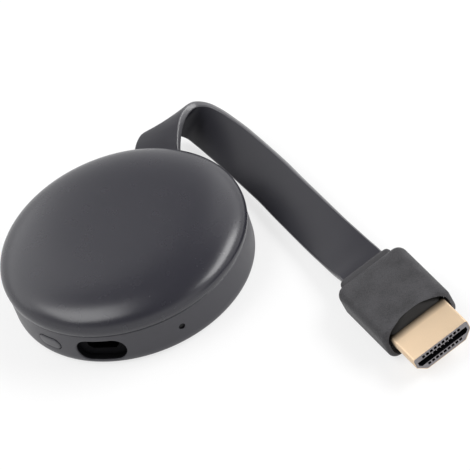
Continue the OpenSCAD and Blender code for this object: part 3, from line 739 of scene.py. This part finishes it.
def housing():
    shape = Shape()
    rows = [HEEL_H * (1 - math.cos(math.radians(90 * k / HEEL_ROWS)))
            for k in range(HEEL_ROWS + 1)] + WALL_ROWS
    outer_loops, inner_loops, dark = [], [], []
    for hole in HOLES:
        name, angle, w, h, mid, edge, _ = hole
        rings = rounded_edge(shape, wall_radius, angle, (w, h), (0, mid), edge, 1)
        shape.bridge(*rings)
        outer_loops.append((hole, rings[0], edge))
        first = len(shape.f)
        if name == "port":
            inner_loops.append((hole, port_tunnel(shape, hole, rings[-1]), TUNNEL_T))
        else:
            inner = shape.ring([on_wall(room_radius, angle, x, z + mid)
                                for x, z in pill_loop(w, h, 0)])
            shape.bridge(rings[-1], inner)
            inner_loops.append((hole, inner, 0))
        # The walls inside each hole take the black finish: painted shade in the holes, and at the
        # port also a black insert
        dark += range(first, len(shape.f))
    out = wall(shape, wall_radius, rows, outer_loops, 0)
    into = wall(shape, room_radius, ROOM_ROWS, inner_loops, NOTCH_SPLAY)
    seam_edge(shape, rows, out, into)
    for at, height in ((out, 0), (into, FLOOR_IN)):
        hub = shape.add((0, 0, height))
        for i in range(SEGS):
            shape.f.append((hub, at(i, 0), at(i + 1, 0)))
    for angle in BOSS_ANGLES:
        boss = Shape()
        lathe(boss, [(BOSS_BORE, BOSS_TOP), (BOSS_R, BOSS_TOP), (BOSS_R, FLOOR_T),
                     (BOSS_BORE, FLOOR_T)], BOSS_SEGS)
        x, y, _ = spot(angle, 0, 0, BOSS_AT)
        shape.join(boss, x, y)
    return paint(shape.build("housing_shell", HOUSING, smooth=PUCK_SMOOTH), dark, BLACK_AND_SHADE)


# The reset key

# How far it stands out, and the rounding of its edge. It leans out at its top by this share of the
# height, and sits a little low and to the left in its slot.
KEY_PROUD, KEY_EDGE = 0.12, 0.22
KEY_LEAN, KEY_ASIDE, KEY_LOW = 0.06, -0.06, -0.06
# Its flange behind the wall, whose two faces are given by their radius
FLANGE_GAP, FLANGE_T, FLANGE_GROW = 0.12, 0.6, 0.6
FLANGE_OUT = ROOM_R - FLANGE_GAP
FLANGE_IN = FLANGE_OUT - FLANGE_T
# Its stem, and the radii from which and to which it reaches: just off the switch's plunger, and
# into the flange
STEM_W, STEM_H, STEM_IN, STEM_OUT = 1.6, 1.2, 21.56, 24.5
# Loose points on its face: their pitch, and how far inside its outline they stay
DOT_PITCH, DOT_MARGIN = 0.5, 0.45


def key_face(z):
    """The radius of the key's leaning face at a height."""
    return wall_radius(z) + KEY_PROUD + KEY_LEAN * (z - KEY_Z)


def key():
    shape = Shape()
    rings = rounded_edge(shape, key_face, KEY_ANGLE, (KEY_W, KEY_H),
                         (KEY_ASIDE, KEY_Z + KEY_LOW), KEY_EDGE, -1)
    for grow, r in ((0, FLANGE_OUT), (FLANGE_GROW, FLANGE_OUT), (FLANGE_GROW, FLANGE_IN)):
        rings.append(shape.ring([spot(KEY_ANGLE, x, z + KEY_Z, math.sqrt(r**2 - x * x))
                                 for x, z in pill_loop(KEY_W, KEY_H, grow)]))
    shape.bridge(*rings)
    dots = [(x * DOT_PITCH, z * DOT_PITCH) for x in range(-5, 6) for z in range(-2, 3)]
    loose = shape.ring([on_wall(key_face, KEY_ANGLE, x, z + KEY_Z) for x, z in dots
                        if pill_gap(KEY_W, KEY_H, x, z) < -DOT_MARGIN])
    for ring, points in ((rings[0], loose), (rings[-1], [])):
        fill(shape, ring, [], points, lambda p: beside(KEY_ANGLE, p))
    shape.loft([[spot(KEY_ANGLE, x, z + KEY_Z, r) for x, z in box(STEM_W, STEM_H)]
                for r in (STEM_IN, STEM_OUT)])
    return shape.build("reset_key", KEY, smooth=PUCK_SMOOTH)


for piece, node_name, body, slot in ((cover(), "top_cover", BODY, "cover"),
                                     (housing(), "lower_housing", BODY, "housing"),
                                     (key(), "reset_button", "button", "key")):
    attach(piece, body)
    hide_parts(node_name)


# The plug

# Its pieces are made with the shell's front at the origin and the grip towards +Y
PLUG = (Matrix.Translation(CORD_END) @ Matrix.Rotation(YAW, 4, "Z") @ Matrix.Rotation(LEAN, 4, "Y")
        @ Matrix.Translation((0, -PLUG_LEN, 0)))
# The largest turns that the plug's flat and its round pieces smooth over, in degrees
GRIP_SMOOTH, SHELL_SMOOTH = 30, 35

# The scoop in the grip's front and the core round the shell in it, as ovals: how deep each lies
# behind the front, its half width and its half height. The core is coloured darker than the grip
# as painted shade inside the scoop.
SCOOP = ((-1.0, 7.85, 4.6), (0.0, 7.7, 4.35), (1.8, 7.4, 3.9), (4.5, 7.1, 3.3))
CORE = ((0.4, 7.0, 2.5), (0.6, 7.15, 2.9), (1.9, 7.32, 3.85), (6.0, 7.2, 3.5))
# How deep the rounding of the grip's front edge goes, against its radius. The ring where the
# rounding ends stays where it is, so points within FRONT_END of it aren't moved.
FRONT_ROUND, FRONT_END = 0.55, 0.001


def rounded_box(shape, half, r, middle):
    """A block with all its edges rounded, from a grid on a cube drawn in to its rounding."""
    turns, flats = 6, 4

    def marks(a):
        core = a - r
        rim = [core + r * math.tan(math.radians(45 * k / turns)) for k in range(1, turns + 1)]
        flat = [-core + 2 * core * k / flats for k in range(flats + 1)]
        return [-v for v in rim[::-1]] + flat + rim

    grids = [marks(a) for a in half]
    for axis in range(3):
        u, v = [k for k in range(3) if k != axis]
        for side in (-1, 1):
            ids = {}
            for i, a in enumerate(grids[u]):
                for j, b in enumerate(grids[v]):
                    p = [0, 0, 0]
                    p[axis], p[u], p[v] = side * half[axis], a, b
                    core = [max(-(h - r), min(h - r, c)) for h, c in zip(half, p)]
                    d = Vector([c - k for c, k in zip(p, core)]).normalized() * r
                    ids[i, j] = shape.add([m + k + e for m, k, e in zip(middle, core, d)])
            for i in range(len(grids[u]) - 1):
                for j in range(len(grids[v]) - 1):
                    shape.f.append((ids[i, j], ids[i + 1, j], ids[i + 1, j + 1], ids[i, j + 1]))


def cut_by(obj, cutter):
    """Takes the cutter out of a piece and leaves a plain mesh."""
    mod = obj.modifiers.new("cut", "BOOLEAN")
    mod.operation, mod.solver, mod.object = "DIFFERENCE", "EXACT", cutter
    deps = bpy.context.evaluated_depsgraph_get()
    mesh = bpy.data.meshes.new_from_object(obj.evaluated_get(deps))
    obj.modifiers.clear()
    old, obj.data = obj.data, mesh
    bpy.data.meshes.remove(old)
    bpy.data.objects.remove(cutter)
    mesh.shade_smooth()


def join_in(obj, other):
    """Adds another piece's mesh to a piece. Gives the number of its first new face."""
    first = len(obj.data.polygons)
    bm = bmesh.new()
    bm.from_mesh(obj.data)
    bm.from_mesh(other.data)
    bm.to_mesh(obj.data)
    bm.free()
    bpy.data.objects.remove(other)
    return first


def scoop_form(name, ovals, finish):
    """A solid through ovals behind the grip's front."""
    shape = Shape()
    shape.loft([[(x, SHELL_LEN + depth, z) for x, z in oval(a, b)] for depth, a, b in ovals])
    return shape.build(name, finish, place=PLUG)


def grip():
    shape = Shape()
    middle = (0, SHELL_LEN + GRIP_LEN / 2, 0)
    rounded_box(shape, (GRIP_W / 2, GRIP_LEN / 2, GRIP_H / 2), GRIP_R, middle)
    for k, (x, y, z) in enumerate(shape.v):
        if y < SHELL_LEN + GRIP_R - FRONT_END:
            shape.v[k] = (x, SHELL_LEN + (y - SHELL_LEN) * FRONT_ROUND, z)
    obj = shape.build("plug_grip", GRIP, smooth=GRIP_SMOOTH, place=PLUG, weld=True)
    cut_by(obj, scoop_form("cutter", SCOOP, GRIP))
    # The core in the scoop takes the darker colour: painted shade
    first = join_in(obj, scoop_form("core", CORE, SCOOP_SHADE))
    obj.data.set_sharp_from_angle(angle=math.radians(GRIP_SMOOTH))
    return paint(obj, range(first, len(obj.data.polygons)), SCOOP_SHADE)


# Sheet of the plug's shell, thinner than the CAD's, and the front edge rounded on both sides:
# places along the shell and how far in from its outline
SHEET = 0.16
SHELL_EDGE = ((2.0, 0), (0.1, 0), (0.03, 0.02), (0.0, 0.06), (0.0, SHEET - 0.04),
              (0.03, SHEET - 0.01), (0.08, SHEET))


def shell_loop(g, steps=6):
    """The plug shell's outline, drawn in by g."""
    w, h = SHELL_W / 2 - g, SHELL_H / 2 - g
    low, side, r = SHELL_LOW_W / 2 - g / 2, SHELL_H / 2 - SHELL_SIDE_H, SHELL_ROUND - g
    corners = [(-low, -h), (low, -h), (w, side), (w, h), (-w, h), (-w, side)]
    return rounded_loop(corners, [r] * 6, steps)


def shell():
    rear = SHELL_LEN + SHELL_TAIL
    shape = Shape()
    ids = shape.loft([[(x, y, z) for x, z in shell_loop(g)]
                      for y, g in ((rear, 0),) + SHELL_EDGE + ((rear, SHEET),)], caps=False)
    shape.bridge(ids[-1], ids[0])
    return shape.build("plug_shell", GOLD, smooth=SHELL_SMOOTH, place=PLUG)


# The plug's plastic block: where it starts and ends, how deep its openings are, and the gap
# between it and the shell
BLOCK_FRONT, BLOCK_DEEP, BLOCK_REAR, BLOCK_GAP = 0.04, 6.3, 13.35, 0.005
# Its slot, with slanted lower corners, and the short ribs that hang into it
SLOT_HALF, SLOT_TOP, SLOT_BOTTOM, SLOT_SLANT = 6.2, 0.78, -0.66, 0.55
RIB_W, RIB_H, RIB_COUNT, RIB_PITCH = 0.22, 0.34, 6, 1.0
# Its rows of wells: how many, the height of their middle, and their height
WELL_W, WELL_PITCH = 0.66, 1.0
WELL_ROWS = ((10, 1.29, 0.66), (9, -1.16, 0.62))


def slot_loop():
    """The slot's outline, in and out round its ribs."""
    half, top, bottom, slant = SLOT_HALF, SLOT_TOP, SLOT_BOTTOM, SLOT_SLANT
    loop = [(-half, top), (-half, bottom + slant), (-half + slant, bottom),
            (half - slant, bottom), (half, bottom + slant), (half, top)]
    for k in range(RIB_COUNT):
        x = ((RIB_COUNT - 1) / 2 - k) * RIB_PITCH
        loop += [(x + RIB_W / 2, top), (x + RIB_W / 2, top - RIB_H),
                 (x - RIB_W / 2, top - RIB_H), (x - RIB_W / 2, top)]
    return loop


def insulator():
    shape = Shape()
    outline = shell_loop(SHEET + BLOCK_GAP, 4)
    loops = [slot_loop()]
    for count, mid, h in WELL_ROWS:
        for k in range(count):
            loops.append(box(WELL_W, h, (k - (count - 1) / 2) * WELL_PITCH, mid))

    def flat(p):
        return (p[0], p[2])

    border = shape.ring([(x, BLOCK_FRONT, z) for x, z in outline])
    mouths = [shape.ring([(x, BLOCK_FRONT, z) for x, z in loop]) for loop in loops]
    fill(shape, border, mouths, [], flat)
    back = shape.ring([(x, BLOCK_REAR, z) for x, z in outline])
    shape.bridge(border, back)
    shape.cap(back)
    first = len(shape.f)
    for loop, mouth in zip(loops, mouths):
        end = shape.ring([(x, BLOCK_DEEP, z) for x, z in loop])
        shape.bridge(mouth, end)
        fill(shape, end, [], [], flat)
    # The walls inside the slot and the wells take the black finish: painted shade in them
    dark = range(first, len(shape.f))
    piece = shape.build("plug_insulator", INSULATOR, smooth=GRIP_SMOOTH, place=PLUG)
    return paint(piece, dark, BLACK_AND_SHADE)


# The cable's collar is a rounded block behind the grip and a neck that starts in it. The block's
# half length and middle and the neck's start are measured from the grip's rear.
COLLAR_HALF, COLLAR_MIDDLE, COLLAR_R = 1.6, 0.85, 1.1
NECK_START, NECK_ROUND = 1.0, 1.0
# The neck's rounded end: how far each ring is drawn in, and how far it lies before the end
NECK_EDGE = ((0, 0.3), (0.09, 0.09), (0.3, 0))


def neck_loop(g):
    """The neck's outline, drawn in by g."""
    corners = box(NECK_W - 2 * g, NECK_H - 2 * g)
    return rounded_loop(corners, [NECK_ROUND - g] * 4)


def collar():
    shape = Shape()
    y = SHELL_LEN + GRIP_LEN
    rounded_box(shape, (COLLAR_W / 2, COLLAR_HALF, COLLAR_H / 2), COLLAR_R,
                (0, y + COLLAR_MIDDLE, 0))
    end = y + COLLAR_LEN + NECK_LEN
    rings = [[(x, y + NECK_START, z) for x, z in neck_loop(0)]]
    rings += [[(x, end - back, z) for x, z in neck_loop(g)] for g, back in NECK_EDGE]
    shape.loft(rings)
    return shape.build("plug_collar", COLLAR, smooth=SHELL_SMOOTH, place=PLUG, weld=True)


plug_grip, plug_shell, plug_collar, plug_insulator = grip(), shell(), collar(), insulator()
for piece, node_name, slot in ((plug_grip, "plug_overmould", "grip"),
                               (plug_shell, "hdmi_shell", "gold_shell"),
                               (plug_collar, "cable_collar", "collar"),
                               (plug_insulator, "hdmi_insulator", "insulator")):
    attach(piece, BODY)
    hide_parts(node_name)

[tuple(c * MM) for c in cable_path]


# Floor, lights and world

# The floor is a large square just under the object. Where it is seen, part of it glows, so that it
# is nearly white. To the light that it throws back it is plain grey.
FLOOR_SIDE, FLOOR_DROP = 6000, 0.02
FLOOR_GREY, FLOOR_GLOW = 0.87, 0.7
# The sky's strength goes by the height of a direction: 1 up to SKY_LOW, and from there down to
# ZENITH at SKY_HIGH
SKY_LOW, SKY_HIGH, ZENITH = 0.3, 0.75, 0.2
# Place that the lamps aim at and their distance from it, in metres
LIGHT_AIM, LIGHT_DISTANCE = Vector((0.015, 0, 0.01)), 0.6
LIGHTS = [
    # name, azimuth, elevation, size in metres, watts
    ("key_light", -100, 62, (0.35, 0.35), 1.6),
    ("fill_light", 86, 38, (0.5, 0.24), 2.6),
    ("back_left", -140, 35, (0.6, 0.35), 0.7),
    ("back_right", 130, 35, (0.6, 0.4), 0.6),
]


def ray_switch(tree, shown, lit):
    """Mixes to the shown shader for camera, glossy and transmission rays."""
    path = tree.nodes.new("ShaderNodeLightPath")
    total = path.outputs["Is Camera Ray"]
    for name in ("Is Glossy Ray", "Is Transmission Ray"):
        add = tree.nodes.new("ShaderNodeMath")
        add.operation = "MAXIMUM"
        tree.links.new(total, add.inputs[0])
        tree.links.new(path.outputs[name], add.inputs[1])
        total = add.outputs[0]
    mix = tree.nodes.new("ShaderNodeMixShader")
    tree.links.new(total, mix.inputs[0])
    tree.links.new(lit, mix.inputs[1])
    tree.links.new(shown, mix.inputs[2])
    return mix.outputs[0]


def stage():
    mat = bpy.data.materials.new("floor")
    mat.use_nodes = True
    tree = mat.node_tree
    nodes = tree.nodes
    nodes.clear()
    out = nodes.new("ShaderNodeOutputMaterial")
    matt = nodes.new("ShaderNodeBsdfDiffuse")
    matt.inputs["Color"].default_value = (FLOOR_GREY, FLOOR_GREY, FLOOR_GREY, 1)
    glow = nodes.new("ShaderNodeEmission")
    glow.inputs["Color"].default_value = (1, 1, 1, 1)
    glow.inputs["Strength"].default_value = 1.0
    part = nodes.new("ShaderNodeMixShader")
    part.inputs[0].default_value = FLOOR_GLOW
    tree.links.new(matt.outputs[0], part.inputs[1])
    tree.links.new(glow.outputs[0], part.inputs[2])
    tree.links.new(ray_switch(tree, part.outputs[0], matt.outputs[0]), out.inputs[0])
    shape = Shape()
    shape.cap(shape.ring([(x, y, 0) for x, y in box(FLOOR_SIDE, FLOOR_SIDE)]))
    floor = shape.build("floor", mat)
    floor.location.z = -FLOOR_DROP * MM


def world():
    """White low round the object and darker overhead, as on a pale sweep."""
    w = bpy.data.worlds.new("studio")
    bpy.context.scene.world = w
    w.use_nodes = True
    tree = w.node_tree
    tree.nodes.clear()
    out = tree.nodes.new("ShaderNodeOutputWorld")
    sky = tree.nodes.new("ShaderNodeBackground")
    sky.inputs["Color"].default_value = (1, 1, 1, 1)
    where = tree.nodes.new("ShaderNodeTexCoord")
    split = tree.nodes.new("ShaderNodeSeparateXYZ")
    fall = tree.nodes.new("ShaderNodeMapRange")
    fall.inputs["From Min"].default_value, fall.inputs["From Max"].default_value = SKY_LOW, SKY_HIGH
    fall.inputs["To Min"].default_value, fall.inputs["To Max"].default_value = 1.0, ZENITH
    tree.links.new(where.outputs["Generated"], split.inputs[0])
    tree.links.new(split.outputs["Z"], fall.inputs["Value"])
    tree.links.new(fall.outputs["Result"], sky.inputs["Strength"])
    tree.links.new(sky.outputs[0], out.inputs[0])


def softbox(name, azimuth, elevation, size, watts):
    """An area lamp aimed at the puck. Azimuth 0 is on the camera's side and 90 to its right."""
    a, e = math.radians(azimuth), math.radians(elevation)
    away = turned((math.sin(a) * math.cos(e), -math.cos(a) * math.cos(e), math.sin(e)))
    data = bpy.data.lights.new(name, "AREA")
    data.shape, data.size, data.size_y, data.energy = "RECTANGLE", size[0], size[1], watts
    lamp = bpy.data.objects.new(name, data)
    bpy.context.collection.objects.link(lamp)
    lamp.location = LIGHT_AIM + away * LIGHT_DISTANCE
    lamp.rotation_euler = (LIGHT_AIM - lamp.location).to_track_quat("-Z", "Y").to_euler()


stage()
world()
for light in LIGHTS:
    softbox(*light)
